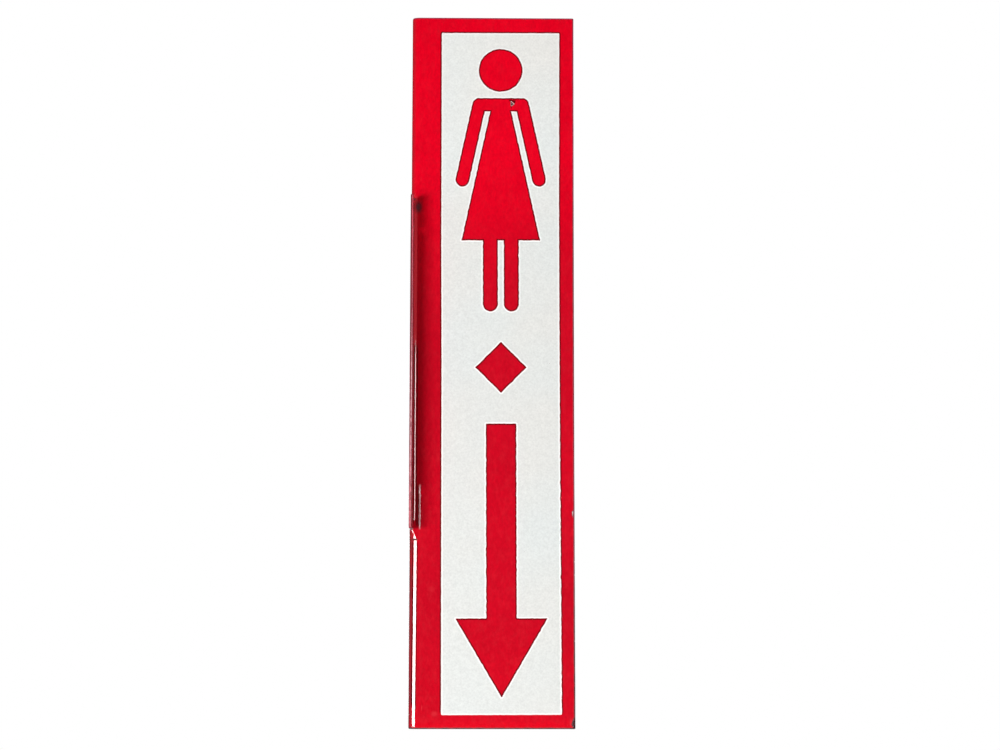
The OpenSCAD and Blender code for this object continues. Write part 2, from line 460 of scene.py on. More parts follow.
def coatMesh(name, loops, profiles, grid=sheetGrid, seams=()):
    # profiles has a list of rings for each loop; seams are (loop, distance from the print)
    inner = [offsetLoop(loop, rings[0][0]) for loop, rings in zip(loops, profiles)]
    seamLoops = [loop for loop, _ in seams]
    extra = grid(inner, seamLoops)
    flat, tris, sources = triangulate([*inner, *seamLoops], extra)
    count = len(flat)
    place = {given: made for made, several in enumerate(sources) for given in several}
    loopCount = sum(map(len, inner))
    given = loopCount + sum(map(len, seamLoops)) + len(extra)
    onEdge = np.zeros(count, bool)
    onEdge[[place[k] for k in range(loopCount)]] = True
    onEdge[given:] = True
    if count > given:
        print("  ", name, "edge crosses itself at", count - given, "points")
    # only a triangle whose corners all lie on edges can be outside
    doubtful = onEdge[tris].all(1)
    keep = ~doubtful
    keep[doubtful] = insideOdd(flat[tris[doubtful]].mean(1), inner)
    tris = tris[keep].tolist()

    def layer(points, depth):
        return np.column_stack([points[:, 0], np.full(len(points), -depth), points[:, 1]])

    face, under = profiles[0][0][1], profiles[0][-1][1]
    pts = [layer(flat, face), layer(flat, under)]
    values = [np.full((2 * count, 3), noEdge)]
    start = loopCount
    for loop, distance in seams:
        for k in range(start, start + len(loop)):
            values[0][place[k], 2] = distance
        start += len(loop)
    faces = tris + [(a + count, c + count, b + count) for a, b, c in tris]
    total, first = 2 * count, 0
    for loop, rings in zip(loops, profiles):
        n = len(loop)
        near = 2 if np.ptp(loop, axis=0).max() > shapeLoop else 1
        top = np.array([place[first + i] for i in range(n)])
        rows = [top]
        for distance, depth in rings[1:-1]:
            pts.append(layer(offsetLoop(loop, distance), depth))
            values.append(np.full((n, 3), noEdge))
            values[-1][:, :near] = distance
            rows.append(total + np.arange(n))
            total += n
        rows.append(top + count)
        values[0][top, :near] = rings[0][0]
        values[0][top + count, :near] = rings[-1][0]
        for a, b in zip(rows, rows[1:]):
            faces += [(b[i], b[(i + 1) % n], a[(i + 1) % n], a[i]) for i in range(n)]
        first += n
    if face < under:
        faces = [f[::-1] for f in faces]
    mesh = bpy.data.meshes.new(name)
    mesh.from_pydata((np.concatenate(pts) * mm).tolist(), [], [tuple(int(v) for v in f) for f in faces])
    for label, column in zip(distances, np.concatenate(values).T):
        mesh.attributes.new(label, "FLOAT", "POINT").data.foreach_set("value", column.astype(np.float32))
    draft = bmesh.new()
    draft.from_mesh(mesh)
    bmesh.ops.remove_doubles(draft, verts=draft.verts, dist=1e-7)
    draft.to_mesh(mesh)
    draft.free()
    mesh.update()
    return addObject(name, mesh)


def addObject(name, data):
    made = bpy.data.objects.new(name, data)
    scene.collection.objects.link(made)
    return made


# Node trees, for geometry and for materials

class Value:
    # a node's output that adds and multiplies like a number
    def __init__(self, socket):
        self.socket, self.tree = socket, socket.id_data

    def beside(self, name):
        return Value(self.socket.node.outputs[name])

    def spread(self, low, high, toLow=0.0, toHigh=1.0, smooth=False):
        kind = "SMOOTHSTEP" if smooth else "LINEAR"
        inputs = dict(enumerate((self, low, high, toLow, toHigh)))
        return add(self.tree, "ShaderNodeMapRange", inputs, interpolation_type=kind)


def feed(node, inputs):
    # links or sets a node's inputs by their names or numbers
    for key, value in inputs.items():
        if isinstance(value, Value):
            value.tree.links.new(value.socket, node.inputs[key])
        elif value is not None:
            node.inputs[key].default_value = value


def add(tree, kind, inputs=None, out=0, **settings):
    node = tree.nodes.new(kind)
    for key, value in settings.items():
        setattr(node, key, value)
    feed(node, inputs or {})
    return Value(node.outputs[out])


plain = {"MINIMUM": min, "MAXIMUM": max, "EXPONENT": math.exp, "SINE": math.sin}


def calc(operation, *values):
    # a sum of nodes, or of plain numbers where no node's output is among them
    trees = [v.tree for v in values if isinstance(v, Value)]
    if not trees:
        return plain[operation](*values)
    return add(trees[0], "ShaderNodeMath", dict(enumerate(values)), operation=operation)


for sign, kind in {"add": "ADD", "sub": "SUBTRACT", "mul": "MULTIPLY", "truediv": "DIVIDE"}.items():
    setattr(Value, f"__{sign}__", lambda a, b, kind=kind: calc(kind, a, b))
    setattr(Value, f"__r{sign}__", lambda a, b, kind=kind: calc(kind, b, a))
Value.__gt__ = lambda a, b: calc("GREATER_THAN", a, b)
Value.__lt__ = lambda a, b: calc("LESS_THAN", a, b)
Value.__abs__ = lambda a: calc("ABSOLUTE", a)


def least(a, b):
    return calc("MINIMUM", a, b)


def most(a, b):
    return calc("MAXIMUM", a, b)


def within(a):
    return least(most(a, 0.0), 1.0)


def axes(place):
    split = add(place.tree, "ShaderNodeSeparateXYZ", {0: place})
    return split, split.beside("Y"), split.beside("Z")


def millimetres(at):
    return [axis / mm for axis in axes(at)]


def asPoint(x, y, z):
    return add(z.tree, "ShaderNodeCombineXYZ", {"X": x, "Y": y, "Z": z})


def nodeTree(name, sizes):
    # a geometry tree with an input for each size, for a seed and for the material
    tree = bpy.data.node_groups.new(name, "GeometryNodeTree")
    for way in ("INPUT", "OUTPUT"):
        tree.interface.new_socket("Geometry", in_out=way, socket_type="NodeSocketGeometry")
    kinds = {"seed": "Int", "material": "Material"}
    for label in [*sizes.split(), *kinds]:
        tree.interface.new_socket(label, in_out="INPUT", socket_type="NodeSocket" + kinds.get(label, "Float"))
    given = tree.nodes.new("NodeGroupInput")
    return tree, SimpleNamespace(**{socket.name: Value(socket) for socket in given.outputs if socket.name})


def finishTree(tree, geometry, given):
    real = add(tree, "GeometryNodeRealizeInstances", {0: geometry})
    painted = add(tree, "GeometryNodeSetMaterial", {"Geometry": real, "Material": given.material})
    feed(tree.nodes.new("NodeGroupOutput"), {0: painted})
    return tree


def placeAndFinish(tree, geometry, place, given):
    return finishTree(tree, add(tree, "GeometryNodeSetPosition", {0: geometry, "Position": place}), given)


def runTree(piece, tree, values):
    # sets the named inputs, keeps the result as a plain mesh and takes the modifier off
    modifier = piece.modifiers.new(tree.name, "NODES")
    modifier.node_group = tree
    for item in tree.interface.items_tree:
        if item.in_out == "INPUT" and item.name in values:
            value = values[item.name]
            modifier[item.identifier] = float(value) if item.socket_type == "NodeSocketFloat" else value
    graph = bpy.context.evaluated_depsgraph_get()
    result = piece.evaluated_get(graph)
    made = bpy.data.meshes.new_from_object(result, preserve_all_data_layers=True, depsgraph=graph)
    piece.modifiers.remove(modifier)
    old, name = piece.data, piece.data.name
    piece.data = made
    bpy.data.meshes.remove(old)
    made.name = name
    made.polygons.foreach_set("use_smooth", [True] * len(made.polygons))
    made.set_sharp_from_angle(angle=math.radians(55))
    return piece


def makePressBrake():
    # bends the tabs of anything laid out on the flat blank, and lets the sheet wave a little
    tree, given = nodeTree("pressBrake", " ".join(vars(brake)))
    along, front, height = millimetres(add(tree, "GeometryNodeInputPosition"))
    depth = front * -1.0
    pastSlit, ease, corner, flat, easeRun, cornerRun = bendAt(height, given)
    side = (pastSlit > 0.0) * 2.0 - 1.0
    # how far past the flat the point lies, and how far the two bends have turned there
    run = most(flat - along, 0.0)
    easeTurn = least(run, easeRun) / ease
    left = run - easeRun
    turn = easeTurn + least(most(left, 0.0), cornerRun) / corner
    straight = most(left - cornerRun, 0.0)
    sinTurn, cosTurn = calc("SINE", turn), calc("COSINE", turn)
    sinFirst, cosFirst = calc("SINE", easeTurn), calc("COSINE", easeTurn)
    middleX = flat - (ease * sinFirst + corner * (sinTurn - sinFirst))
    deep = ease * (1.0 - cosFirst) + (corner * (cosFirst - cosTurn) + straight)
    pastBend = most(along - flat, 0.0)
    x = middleX + pastBend + side * depth * (sinTurn * -1.0)
    y = given.middlePlane + (side * deep - depth * cosTurn)

    def slowNoise(across, length):
        place = asPoint(across / length, given.seed, height / length)
        return add(tree, "ShaderNodeTexNoise", {"Vector": place, "Scale": 1.0, "Detail": 1.0})

    swing = (slowNoise(along, given.waveLength) - 0.5) * given.waveHeight
    fade = least(pastBend / given.waveFade, 1.0)
    y = y + swing * 2.0 * (fade * fade * (fade * -2.0 + 3.0))
    # the free edge is hollow half way up, and a little uneven
    over = pastBend / (given.freeEdge - flat)
    up = (height - given.sheetMiddle) / given.halfHeight
    uneven = slowNoise(0.0, given.edgeWaveLength) * given.edgeWave * over
    x = x - over * ((1.0 - up * up) * given.waist + uneven * over)
    return placeAndFinish(tree, given.Geometry, asPoint(x * mm, y * mm, height * mm), given)


def makeBeadTree():
    # a bead of enamel along any line drawn on the flat blank, sunk into the surface that it set on
    tree, given = nodeTree("enamelBead", "width height growth raggedness grain taper surface step")
    line = add(tree, "GeometryNodeMeshToCurve", {"Mesh": given.Geometry})
    line = add(tree, "GeometryNodeResampleCurve", {"Curve": line, "Length": given.step}, mode="LENGTH")
    position = add(tree, "GeometryNodeInputPosition")
    rough = add(tree, "ShaderNodeTexNoise", {"Vector": position, "W": given.seed, "Scale": 1.0 / given.grain,
                                             "Detail": 2.0}, noise_dimensions="4D")
    along = add(tree, "GeometryNodeSplineParameter", out="Factor")
    ends = least(least(along, 1.0 - along) * 9.0, 1.0)
    ends = 1.0 - given.taper * (1.0 - calc("SQRT", ends))
    uneven = most(1.0 + given.raggedness * ((rough - 0.5) * 4.0), 0.3)
    width = given.width * 0.5 * (uneven * ((1.0 + given.growth * along) * ends))
    circle = add(tree, "GeometryNodeCurvePrimitiveCircle", {"Resolution": 12, "Radius": 1.0})
    tube = add(tree, "GeometryNodeCurveToMesh", {"Curve": line, "Profile Curve": circle, "Scale": width,
                                                 "Fill Caps": True})
    x, y, z = axes(position)
    y = (y - given.surface) * (given.height / (given.width * 0.5)) + given.surface
    return placeAndFinish(tree, tube, asPoint(x, y, z), given)


def makeSpeckTree():
    # pimples and grit scattered over the flat of one coat, clear of its edges
    tree, given = nodeTree("kilnSpecks", "density leastWidth mostWidth flatness facing edgeClearance")
    facing = axes(add(tree, "GeometryNodeInputNormal"))[1] * given.facing > 0.97
    edge = add(tree, "GeometryNodeInputNamedAttribute", {"Name": "edgeDistance"}, "Attribute")
    density = facing * (edge > given.edgeClearance) * given.density
    inputs = {"Mesh": given.Geometry, "Density": density, "Seed": given.seed}
    scatter = add(tree, "GeometryNodeDistributePointsOnFaces", inputs)
    inputs = {2: given.leastWidth, 3: given.mostWidth, "Seed": given.seed}
    width = add(tree, "FunctionNodeRandomValue", inputs, 1)
    scale = asPoint(width, width, width * given.flatness)
    dome = add(tree, "GeometryNodeMeshIcoSphere", {"Radius": 0.5, "Subdivisions": 2})
    return finishTree(tree, add(tree, "GeometryNodeInstanceOnPoints", {
        "Points": scatter, "Rotation": scatter.beside("Rotation"), "Instance": dome, "Scale": scale}), given)


pressBrake = makePressBrake()
enamelBead = makeBeadTree()
kilnSpecks = makeSpeckTree()


def press(piece, material):
    return runTree(piece, pressBrake, {**vars(brake), "seed": 4, "material": material})


# Finishes

def material(name):
    made = bpy.data.materials.new(name)
    made.use_nodes = True
    tree = made.node_tree
    return made, tree.nodes["Principled BSDF"], add(tree, "ShaderNodeTexCoord", out="Object")


def noise(at, scale, detail=2.0, rough=0.5, stretch=(1, 1, 1)):
    place = add(at.tree, "ShaderNodeMapping", {"Vector": at, "Scale": stretch})
    inputs = {"Vector": place, "Scale": scale, "Detail": detail, "Roughness": rough}
    return add(at.tree, "ShaderNodeTexNoise", inputs)


def blend(factor, a, b):
    a, b = (v if isinstance(v, Value) else (*v, 1.0) for v in (a, b))
    return add(factor.tree, "ShaderNodeMix", {0: factor, 6: a, 7: b}, 2, data_type="RGBA")


def scaled(colour, factor):
    return add(colour.tree, "ShaderNodeVectorMath", {0: colour, "Scale": factor}, operation="SCALE")


def tone(z, colours):
    # colours by height, lowest first: (z in millimetres, colour)
    low, high = colours[0][0], colours[-1][0]
    ramp = add(z.tree, "ShaderNodeValToRGB", {0: z.spread(low, high)})
    stops = ramp.socket.node.color_ramp.elements
    while len(stops) < len(colours):
        stops.new(0.5)
    for stop, (height, colour) in zip(stops, colours):
        stop.position = (height - low) / (high - low)
        stop.color = (*colour, 1.0)
    return ramp


def level(z, steps, top=1.2):
    # a number by height, up to top: (z in millimetres, number), lowest first
    return tone(z, [(height, (k / top, k / top, k / top)) for height, k in steps]) * top


def onFront(at):
    return axes(at)[1] < middlePlane * mm


def nearPoint(at, spot, half, soft, ragged=0.0):
    # 1 at a mark on the front of the sheet and 0 away from it; spot and half are (x, z) in millimetres
    middle, size = (spot[0] * mm, 0, spot[1] * mm), (half[0] * mm, 1000, half[1] * mm)
    inputs = {"Vector": at, "Location": middle, "Scale": size}
    place = add(at.tree, "ShaderNodeMapping", inputs, vector_type="TEXTURE")
    away = add(at.tree, "ShaderNodeVectorMath", {0: place}, "Value", operation="LENGTH")
    if ragged:
        away = away + noise(at, 900, 3) * ragged
    return away.spread(1 - soft, 1.0, 1.0, 0.0, True) * onFront(at)


def nearLine(at, low, high, half, ragged, soft=0.6):
    # 1 along a line up the front of the sheet and 0 away from it; low and high are (x, z) in millimetres
    x, _, z = millimetres(at)
    lean = (high[0] - low[0]) / (high[1] - low[1])
    away = abs(x - (z * lean + (low[0] - lean * low[1])))
    grit = noise(at, 600, 3, 0.6, (1, 1, 0.7)).spread(0.3, 0.7, -ragged, ragged)
    mask = (away + grit).spread(half * (1 - soft), half, 1.0, 0.0, True)
    mask = mask * z.spread(low[1] - 2, low[1] + 2) * z.spread(high[1] - 2, high[1] + 2, 1.0, 0.0)
    return mask * onFront(at)


def bumps(*layers):
    # layers: (height, distance in millimetres, strength)
    normal = None
    for height, distance, strength in layers:
        inputs = {"Height": height, "Distance": distance * mm, "Strength": strength, "Normal": normal}
        normal = add(height.tree, "ShaderNodeBump", inputs)
    return normal


def edgeLip(at, reach, label="edgeDistance", start=0.0):
    # 1 at the rim of a coat, 0 from this many millimetres in
    distance = add(at.tree, "ShaderNodeAttribute", out="Fac", attribute_name=label)
    return distance.spread(start, reach, 1.0, 0.0, True)


redFinish = {
    "tones": [(-308, (0.77, 0.003, 0.0142)), (-298, (0.63, 0.0034, 0.0155)), (-200, (0.585, 0.0034, 0.016)),
              (-110, (0.6, 0.003, 0.0155)), (-60, (0.58, 0.003, 0.0155)), (40, (0.585, 0.003, 0.0155)),
              (93, (0.665, 0.0024, 0.0155)), (125, (0.75, 0.0014, 0.0155)), (165, (0.8, 0.001, 0.0155)),
              (302, (0.835, 0.0008, 0.0155))],
    # the tone by the bend, on the panel and at the free edge: by the bend it is painted shade beside the
    # middle tab and painted light above it; at the free edge it is lighter or darker by height
    "tabShadeByBend": [(-308, 1.0), (-150, 0.99), (-75, 0.93), (-30, 0.915), (10, 0.965), (80, 0.99), (122, 1.02),
               (165, 1.05), (240, 1.0), (302, 0.985)],
    "onPanel": 1.045,
    "atEdge": [(-308, 1.0), (-276, 1.0), (-236, 0.97), (-196, 1.04), (-155, 1.1), (-115, 1.1), (-74, 1.08),
               (-33, 1.05), (8, 1.04), (50, 1.02), (91, 1.01), (218, 1.0), (260, 1.05), (302, 1.03)],
    "dark": (0.12, 0.0014, 0.004),
    "bare": (0.85, 0.25, 0.27),  # the white that shows through the very edge of the red
    "thin": (0.235, 0.022, 0.03),  # where the bend pulled the red thin over the ground coat
    "scorch": (0.13, 0.016, 0.027),
    "pale": (0.78, 0.045, 0.06),
    # painted shade: dark lines in the bends' creases and beside their highlights
    "paintedShade": (0.09, 0.003, 0.005),
    # paintedSheen: a painted reflection of the panel on the middle tab's inner face
    "paintedSheen": (0.75, 0.17, 0.22),
    # lit: painted light in the middle tab's inner bend
    "lit": (0.98, 0.05, 0.075),
    # ridgeHighlight: a painted highlight on the enamel run beside the middle tab
    "ridgeHighlight": (1.0, 0.6, 0.63),
    "ior": 1.6,
    "pooledIor": 2.2,
}
# pale marks on the red: the middle and half its size as (x, z), and strength
redMarks = [
    ((8.1, 159), (0.45, 3.4), 0.35), ((11.15, -290.3), (0.6, 3.4), 0.55), ((21.6, -295.2), (3.8, 3.2), 0.42),
    ((13.3, -297.7), (0.8, 0.8), 0.3), ((18.6, -191.5), (4.4, 3.7), 0.16), ((6.7, 264), (0.7, 0.7), 0.5),
    ((138, 26.7), (0.7, 0.9), 0.5), ((24, -80), (2.2, 7), 0.06), ((136.9, -302.6), (3.4, 5.2), 0.45),
]
# streaks up the bends, all painted light and shade: a painted reflection on the middle tab's inner face,
# painted light in its inner bend, painted shade lines beside the bends' highlights and a painted highlight on
# the enamel run; each has the low and the high end as (x, z), half width, colour, strength and raggedness
redStreaks = [
    ((2.5, -139), (2.5, 139), 0.75, "paintedSheen", 0.85, 0.1), ((3.9, 16), (3.9, 143), 1.7, "lit", 0.9, 0.2),
    ((2.75, -288), (2.8, -152), 0.95, "paintedShade", 1.0, 0.1),
    ((5.95, -292), (6.8, -153), 0.65, "paintedShade", 0.8, 0.1),
    ((3.2, -137), (3.5, 14), 0.52, "paintedShade", 0.97, 0.1), ((5.7, -137), (6.05, 14), 0.55, "paintedShade", 0.97, 0.1),
    ((6.7, -139), (6.7, -104), 1.5, "paintedShade", 0.6, 0.2), ((7.35, -138), (7.4, -107), 0.6, "paintedShade", 0.9, 0.2),
    ((8.6, -140), (8.6, -105), 0.9, "ridgeHighlight", 1.0, 0.4),
]
# the outermost line of the enamel, by height: magenta at the head, nearly black at the foot
edgeTones = [(-308, (0.06, 0.01, 0.014)), (-235, (0.08, 0.012, 0.016)), (-200, (0.16, 0.012, 0.024)),
             (-150, (0.24, 0.01, 0.03)), (-75, (0.27, 0.01, 0.034)), (60, (0.22, 0.012, 0.032)),
             (115, (0.19, 0.014, 0.032)), (175, (0.38, 0.007, 0.05)), (302, (0.34, 0.005, 0.044))]
whiteFinish = {
    "cool": (0.795, 0.824, 0.807), "warm": (0.824, 0.817, 0.784), "ior": 1.55,
    # the white's tones by height are painted shade towards the foot and painted light towards the head,
    # against the light of the low soft boxes
    "tones": [(-308, 0.975), (-200, 0.958), (-60, 0.958), (0, 0.965), (60, 0.98), (120, 1.0), (170, 1.045),
              (302, 1.075)],
    "spots": [((112.35, 254.8), (0.6, 0.7)), ((102.8, 153.4), (0.7, 0.6)), ((91.0, -40.0), (0.4, 0.4))],
    # lip is a painted highlight on the white beside the red shapes
    "spot": (0.35, 0.36, 0.34), "pit": (0.42, 0.42, 0.38), "lip": (0.985, 0.985, 0.97),
}
groundFinish = {
    "deep": (0.02, 0.01, 0.013), "brown": (0.055, 0.022, 0.022), "stray": (0.26, 0.01, 0.02),
    "dusky": (0.15, 0.012, 0.018), "nick": (0.62, 0.48, 0.48), "nicksAt": (-168.8, -179.8, -235.0),
    # the pink band's colour by height, partly powder and partly a painted highlight
    "sprayAndGlint": [(-141, (0.58, 0.14, 0.17)), (-117, (0.64, 0.18, 0.21)), (-74, (0.72, 0.29, 0.34)),
              (-14, (0.98, 0.52, 0.57)), (46, (0.98, 0.27, 0.34)), (109, (0.95, 0.15, 0.21)),
              (141, (0.84, 0.12, 0.17))],
    "sprayAndGlintFrom": [(-141, 0.2), (-117, 0.3), (-74, 0.8), (-14, 1.3), (46, 1.65), (109, 1.4), (141, 1.3)],
    "ior": 1.5,
}
steelFinish = {"rust": (0.115, 0.042, 0.018), "dark": (0.03, 0.02, 0.016), "bright": (0.22, 0.16, 0.12)}


def makeRedEnamel(name, ior):
    red = redFinish
    made, shader, at = material(name)
    x, y, z = millimetres(at)
    cloud = noise(at, 14).spread(0.3, 0.7, 0.94, 1.05)
    grain = noise(at, 520, 3, 0.6, (1, 1, 0.6)).spread(0.25, 0.75, 0.89, 1.1)
    mottle = noise(at, 190, 3, 0.6, (1, 1, 0.5)).spread(0.25, 0.75, 0.955, 1.045)
    # painted shade and light beside the middle tab, fading into the panel's tone from x 24 to 46
    tabShadeByBend = level(z, red["tabShadeByBend"])
    across = (red["onPanel"] - tabShadeByBend) * x.spread(24, 46) + tabShadeByBend
    across = (level(z, red["atEdge"]) - red["onPanel"]) * x.spread(118, 132) + across
    colour = scaled(tone(z, red["tones"]), cloud * grain * (across * mottle))
    bloom = noise(at, 240, 4, 0.65, (1, 1, 0.6)).spread(0.46, 0.72, 0.0, 0.1)
    colour = blend(bloom * z.spread(-180, 60, 1.3, 0.8), colour, red["pale"])
    for spot, half, strength in redMarks:
        colour = blend(nearPoint(at, spot, half, 0.8) * strength, colour, red["pale"])
    # the red is thin and dark round the outer bends, most of all at the foot
    pulled = x.spread(1.4, 4.2, 1.0, 0.0, True) * y.spread(21, 27, 1.0, 0.0, True)
    pulled = pulled * z.spread(-142, -138, 0.86, 0.4)
    pulled = pulled * noise(at, 210, 3, 0.6, (1, 1, 0.35)).spread(0.3, 0.7, 0.6, 1.2)
    colour = blend(pulled * (abs(z) > brake.slitHeight), colour, red["thin"])
    for low, high, half, shade, strength, ragged in redStreaks:
        if shade == "paintedSheen":
            # a painted reflection on the middle tab's inner face, most of all along its arris
            strength = y.spread(-7, 3, strength, 0.25 * strength)
        colour = blend(nearLine(at, low, high, half, ragged) * strength, colour, red[shade])
    # the printed edges have a dark lip, the outer edges and the slits have none
    printed = x.spread(18, 22) * x.spread(131, 134, 1.0, 0.0) * abs(z).spread(293, 296, 1.0, 0.0)
    colour = blend(printed * edgeLip(at, 1.6, start=0.8), colour, red["dark"])
    colour = blend(edgeLip(at, 0.4, start=0.1) * 0.75, colour, red["bare"])
    outline = edgeLip(at, 1.25, "outerDistance", 0.35) * noise(at, 150).spread(0.35, 0.6, 0.75, 1.0)
    colour = blend(outline, colour, tone(z, edgeTones))
    scorch = nearPoint(at, (6.1, 134.6), (5.2, 9.4), 0.8, 0.2)
    # a dark, rough line across the bottom tab's bend below the slit, painted with the shade colour, that
    # breaks the bend's highlight
    highlightBreak = nearPoint(at, (4.2, -150.1), (3.8, 1.15), 0.35, 0.2)
    colour = blend(highlightBreak, blend(scorch, colour, red["scorch"]), red["paintedShade"])
    gloss = most(noise(at, 60, 3).spread(0.3, 0.7, 0.03, 0.075), outline * 0.6)
    gloss = most(most(gloss, highlightBreak * 0.8), scorch * 0.3)
    feed(shader, {"Base Color": colour, "Roughness": gloss, "IOR": ior,
                  "Normal": bumps((noise(at, 130), 0.09, 0.35), (noise(at, 700), 0.02, 0.3))})
    return made


def makeWhiteEnamel():
    white = whiteFinish
    made, shader, at = material("whiteEnamel")
    z = millimetres(at)[2]
    colour = blend(noise(at, 9).spread(0.35, 0.65), white["cool"], white["warm"])
    grain = noise(at, 620, 3, 0.6).spread(0.25, 0.75, 0.915, 1.075)
    mottle = noise(at, 210, 3, 0.6).spread(0.25, 0.75, 0.965, 1.035)
    # the white is scaled by its painted light and shade by height
    colour = scaled(colour, level(z, white["tones"]) * (grain * mottle))
    for spot, half in white["spots"]:
        colour = blend(nearPoint(at, spot, half, 0.9) * 0.35, colour, white["spot"])
    # the white is painted lighter where it meets the red shapes, a painted highlight against the shade of the
    # red rims
    colour = blend(edgeLip(at, 1.5, "printDistance", 0.8), colour, white["lip"])
    colour = blend(noise(at, 1500, 1).spread(0.76, 0.82, 0, 0.3), colour, white["pit"])
    gloss = noise(at, 60, 3).spread(0.3, 0.7, 0.08, 0.16)
    feed(shader, {"Base Color": colour, "Roughness": gloss, "IOR": white["ior"],
                  "Normal": bumps((noise(at, 110), 0.09, 0.3), (noise(at, 650), 0.02, 0.25))})
    return made


def makeGroundEnamel():
    ground = groundFinish
    made, shader, at = material("groundEnamel")
    x, y, z = millimetres(at)
    colour = blend(noise(at, 260, 4, 0.65).spread(0.4, 0.65), ground["deep"], ground["brown"])
    colour = blend(noise(at, 320, 3, 0.6).spread(0.42, 0.62, 0.0, 0.75), colour, ground["stray"])
    colour = blend(edgeLip(at, 0.95, "outerDistance", 0.6), colour, tone(z, edgeTones))
    # powder that strayed on to the tabs' free edges, and a pink band there that is partly that powder and
    # partly a painted highlight along the inner arris, speckled with painted sparkle low down
    onTab = abs(y - middlePlane).spread(tabReach - 1.3, tabReach - 0.5)
    colour = blend(onTab * 0.9, colour, ground["dusky"])
    band = (x - level(z, ground["sprayAndGlintFrom"], 2)).spread(-0.25, 0.25, smooth=True)
    patch = noise(at, 700, 4, 0.7, (1, 1, 0.5))
    glintSpeckle = patch.spread(0.42, 0.56) * z.spread(-60, 20, 0.85, 0.35)
    kept = least(glintSpeckle + z.spread(-60, 20, 0.35, 0.65), 1.0)
    colour = blend(band * onTab * kept, colour, tone(z, ground["sprayAndGlint"]))
    for height in ground["nicksAt"]:
        colour = blend(nearPoint(at, (139.5, height), (0.8, 0.9), 0.5), colour, ground["nick"])
    grains = bumps((noise(at, 600, 3), 0.06, 0.5), (patch, 0.05, 0.4))
    feed(shader, {"Base Color": colour, "Roughness": patch.spread(0.3, 0.7, 0.55, 0.8), "IOR": ground["ior"],
                  "Specular IOR Level": 0.15, "Normal": grains})
    return made


def makeBareSteel():
    made, shader, at = material("bareSteel")
    patch = noise(at, 900, 5, 0.7)
    colour = blend(patch.spread(0.35, 0.65), steelFinish["dark"], steelFinish["rust"])
    colour = blend(noise(at, 2600).spread(0.6, 0.7, 0, 0.5), colour, steelFinish["bright"])
    feed(shader, {"Base Color": colour, "Roughness": patch.spread(0.3, 0.7, 0.55, 0.9),
                  "Metallic": patch.spread(0.3, 0.6, 0.5, 0.0), "Normal": bumps((patch, 0.12, 0.8))})
    return made


redEnamel = makeRedEnamel("redEnamel", redFinish["ior"])
pooledEnamel = makeRedEnamel("pooledEnamel", redFinish["pooledIor"])
whiteEnamel = makeWhiteEnamel()
groundEnamel = makeGroundEnamel()
bareSteel = makeBareSteel()
print("finishes made")


# The sheet and its coats

sides = {1: "Front", -1: "Back"}


def keep(piece, paint, *nodes):
    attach(piece, "root")
    if nodes:
        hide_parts(*nodes)
    return piece


def lay(piece, paint, *nodes):
    return keep(press(piece, paint), paint, *nodes)


def makeSteel():
    inset = coats["steelInset"]
    loops = trimLoops([sheetOutline(inset, sheet["cornerRound"], sheet, inset)], screwHoles(inset))
    half = [(0.5, steelDepth), (0.12, steelDepth), (0.03, steelDepth * 0.8)]
    rings = half + [(0.0, 0.0)] + [(distance, -depth) for distance, depth in half[::-1]]
    piece = coatMesh("pressedSteel", loops, [rings] * len(loops))
    lay(piece, bareSteel, "steel_sheet")


def makeGround(face, marks):
    front = face > 0
    inset = 0.0 if front else 0.5
    outline = sheetOutline(inset, sheet["cornerRound"], coats, 0.0 if front else 0.12)
    loops = trimLoops([outline], screwHoles(inset) + chipsThrough("ground", marks))
    deep, core = face * groundDepth, face * steelDepth
    wrap = [(0.3, deep), (0.04, deep), (0.0, core), (0.3, core)]
    if front:
        # the front coat rolls round the cut edge as a bead and laps onto the back
        wrap = [(0.95, groundDepth)]
        for k in range(13):
            a = math.pi * k / 12
            turn = math.sin(a), math.cos(a)
            out, up = (math.copysign(abs(v) ** coats["edgeSquareness"], v) for v in turn)
            wrap.append((coats["edgeRoll"] * (1 - out), groundDepth * up))
        inside = coats["sink"] - steelDepth
        wrap += [(0.86, -groundDepth), (0.86, inside), (0.17, inside), (0.17, steelDepth)]
    rings = bySize(loops, (smallLoop, rim(deep, core, 0.05, (0.12,), 2)), (anyLoop, wrap))
    return coatMesh("groundCoat" + sides[face], loops, rings)


def coverLoops(coat, face, marks, cuts=()):
    # the brushed outline of a cover coat, with its holes, its chips and what else is cut from it
    c = coverCoats[coat]
    outline = sheetOutline(c["inset"], c["corner"], coats, c["slitInset"])
    seed = c["seed"] + (face < 0)
    outline = wander(outline, c["wander"], coats["wanderLength"], seed, clearOfSlits(outline))
    holes = [wander(hole, c["holeWander"], coats["holeWanderLength"], c["holeSeed"] + i)
             for i, hole in enumerate(screwHoles(c["holeInset"]))]
    return trimLoops([outline], [*holes, *cuts, *chipsThrough(coat, marks)])


def makeWhite(face, marks, panel, motifs):
    loops = coverLoops("white", face, marks)
    top, under = face * whiteDepth, face * (groundDepth - coats["sink"])
    small, outer = rim(top, under, 0.08, (0.14,), 3), rim(top, under, 0.6, (0.75,))
    rings = bySize(loops, (smallLoop, small), (anyLoop, outer))
    seams = []
    for distance in coats["printRings"]:
        seams.append((offsetLoop(panel, distance), distance))
        seams += [(offsetLoop(loop, -distance), distance) for shape in motifs.values() for loop in shape]
    return coatMesh("whiteCoat" + sides[face], loops, rings, seams=seams)


def redRims(face):
    # the rims of the red coat round a chip or a hole, and along a printed edge
    top, under = face * redDepth, face * (whiteDepth - coats["sink"])
    return rim(top, under, 0.08, (0.14,), 3), rim(top, under, 0.2, (0.32, 0.6, 0.95, 1.4))


